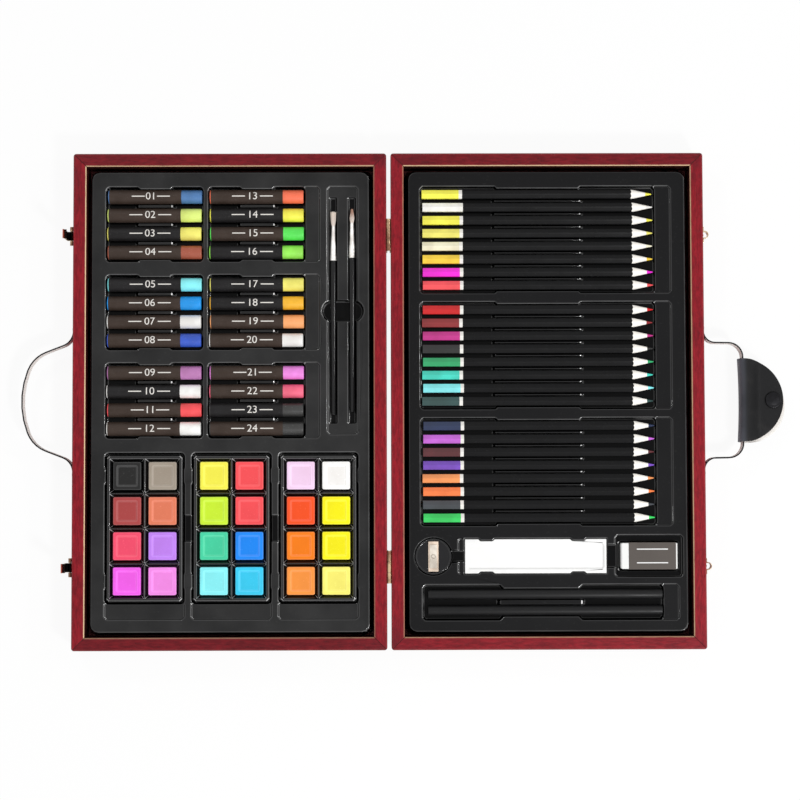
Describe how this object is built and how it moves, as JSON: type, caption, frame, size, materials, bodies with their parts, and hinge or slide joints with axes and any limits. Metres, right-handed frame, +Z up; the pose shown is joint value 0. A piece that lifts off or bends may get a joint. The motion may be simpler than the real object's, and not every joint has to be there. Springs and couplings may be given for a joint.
{
  "type": "hinged art set case",
  "caption": "Flat hinged wooden case lying open, with formed trays of pastels, paint cakes, brushes and pencils, brass latches and a snap-over strap handle.",
  "frame": {"origin": "centre of the base half's underside", "axes": "+X from the base towards the lid, which lies open beside it; +Y along the hinge line towards the brushes' tips; +Z up, out of the trays"},
  "size_m": [0.586, 0.38, 0.038],
  "materials": {
    "stained_wood": "semi-gloss mahogany stain",
    "panel_board": "stained thin board",
    "tray_plastic": "glossy black vacuum-formed sheet",
    "brass": "plated, polished",
    "leather": "black imitation leather",
    "snap_metal": "black enamelled snap",
    "pastel_sleeve": "black paper sleeve",
    "brush_lacquer": "gloss black lacquer",
    "box_plastic": "glossy black moulding",
    "paint_cake_1": "pressed paint, mixed colours",
    "paint_cake_2": "pressed paint, mixed colours",
    "paint_cake_3": "pressed paint, mixed colours",
    "pencil_lacquer_1": "black lacquered wood with coloured ends",
    "pencil_lacquer_2": "black lacquered wood with coloured ends",
    "pencil_lacquer_3": "black lacquered wood with coloured ends",
    "sketch_lacquer": "black lacquered wood",
    "sharpener_plastic": "glossy black moulding",
    "blade_metal": "brushed",
    "white_plastic": "white moulding",
    "eraser_rubber": "white vinyl rubber",
    "sleeve_card": "printed grey card"
  },
  "bodies": {
    "base": {"base_rail_front": "stained_wood", "base_rail_right": "stained_wood", "base_rail_rear": "stained_wood", "base_rail_left": "stained_wood", "base_panel": "panel_board", "base_tray": "tray_plastic", "base_hinge_leaf_1": "brass", "base_hinge_leaf_2": "brass", "hinge_pin_1": "brass", "hinge_pin_2": "brass", "latch_plate_1": "brass", "latch_plate_2": "brass", "base_strap": "leather"},
    "lid": {"lid_rail_front": "stained_wood", "lid_rail_right": "stained_wood", "lid_rail_rear": "stained_wood", "lid_rail_left": "stained_wood", "lid_panel": "panel_board", "lid_tray": "tray_plastic", "lid_hinge_leaf_1": "brass", "lid_hinge_leaf_2": "brass", "keeper_1": "brass", "keeper_2": "brass", "lid_strap": "leather", "grip_lower_flap": "leather", "snap_stud": "snap_metal"},
    "grip_flap": {"grip_upper_flap": "leather", "snap_cap": "snap_metal"},
    "latch_1": {"latch_lever_1": "brass"},
    "latch_2": {"latch_lever_2": "brass"},
    "pastels_left": {"pastels_left": "pastel_sleeve"},
    "pastels_right": {"pastels_right": "pastel_sleeve"},
    "brush_1": {"brush_1": "brush_lacquer"},
    "brush_2": {"brush_2": "brush_lacquer"},
    "paints_1": {"paint_box_1": "box_plastic", "paint_cakes_1": "paint_cake_1"},
    "pencils_1": {"pencils_1": "pencil_lacquer_1"},
    "paints_2": {"paint_box_2": "box_plastic", "paint_cakes_2": "paint_cake_2"},
    "pencils_2": {"pencils_2": "pencil_lacquer_2"},
    "paints_3": {"paint_box_3": "box_plastic", "paint_cakes_3": "paint_cake_3"},
    "pencils_3": {"pencils_3": "pencil_lacquer_3"},
    "sketch_pencil_1": {"sketch_pencil_1": "sketch_lacquer"},
    "sketch_pencil_2": {"sketch_pencil_2": "sketch_lacquer"},
    "sharpener": {"sharpener": "sharpener_plastic", "sharpener_blade": "blade_metal"},
    "mixing_palette": {"mixing_palette": "white_plastic"},
    "eraser": {"eraser": "eraser_rubber", "eraser_sleeve": "sleeve_card"}
  },
  "joints": [
    {"name": "lid_hinge", "type": "hinge", "parent": "base", "child": "lid", "pos_m": [0.1216, 0, 0.02715], "axis": [0, 1, 0], "range_deg": [-180, 0]},
    {"name": "latch_1_swing", "type": "hinge", "parent": "base", "child": "latch_1", "pos_m": [-0.1218, -0.127, 0.021], "axis": [0, -1, 0], "range_deg": [0, 95]},
    {"name": "latch_2_swing", "type": "hinge", "parent": "base", "child": "latch_2", "pos_m": [-0.1218, 0.127, 0.021], "axis": [0, -1, 0], "range_deg": [0, 95]},
    {"name": "grip_flap_open", "type": "hinge", "parent": "lid", "child": "grip_flap", "pos_m": [0.3907, 0, 0.0135], "axis": [0, -1, 0], "range_deg": [0, 120]},
    {"name": "pastels_left_lift", "type": "slide", "parent": "base", "child": "pastels_left", "axis": [0, 0, 1], "range_m": [0, 0.03]},
    {"name": "pastels_right_lift", "type": "slide", "parent": "base", "child": "pastels_right", "axis": [0, 0, 1], "range_m": [0, 0.03]},
    {"name": "brush_1_lift", "type": "slide", "parent": "base", "child": "brush_1", "axis": [0, 0, 1], "range_m": [0, 0.03]},
    {"name": "brush_2_lift", "type": "slide", "parent": "base", "child": "brush_2", "axis": [0, 0, 1], "range_m": [0, 0.03]},
    {"name": "paints_1_lift", "type": "slide", "parent": "base", "child": "paints_1", "axis": [0, 0, 1], "range_m": [0, 0.03]},
    {"name": "paints_2_lift", "type": "slide", "parent": "base", "child": "paints_2", "axis": [0, 0, 1], "range_m": [0, 0.03]},
    {"name": "paints_3_lift", "type": "slide", "parent": "base", "child": "paints_3", "axis": [0, 0, 1], "range_m": [0, 0.03]},
    {"name": "pencils_1_lift", "type": "slide", "parent": "lid", "child": "pencils_1", "axis": [0, 0, 1], "range_m": [0, 0.03]},
    {"name": "pencils_2_lift", "type": "slide", "parent": "lid", "child": "pencils_2", "axis": [0, 0, 1], "range_m": [0, 0.03]},
    {"name": "pencils_3_lift", "type": "slide", "parent": "lid", "child": "pencils_3", "axis": [0, 0, 1], "range_m": [0, 0.03]},
    {"name": "sketch_pencil_1_lift", "type": "slide", "parent": "lid", "child": "sketch_pencil_1", "axis": [0, 0, 1], "range_m": [0, 0.03]},
    {"name": "sketch_pencil_2_lift", "type": "slide", "parent": "lid", "child": "sketch_pencil_2", "axis": [0, 0, 1], "range_m": [0, 0.03]},
    {"name": "sharpener_lift", "type": "slide", "parent": "lid", "child": "sharpener", "axis": [0, 0, 1], "range_m": [0, 0.03]},
    {"name": "mixing_palette_lift", "type": "slide", "parent": "lid", "child": "mixing_palette", "axis": [0, 0, 1], "range_m": [0, 0.03]},
    {"name": "eraser_lift", "type": "slide", "parent": "lid", "child": "eraser", "axis": [0, 0, 1], "range_m": [0, 0.03]}
  ]
}
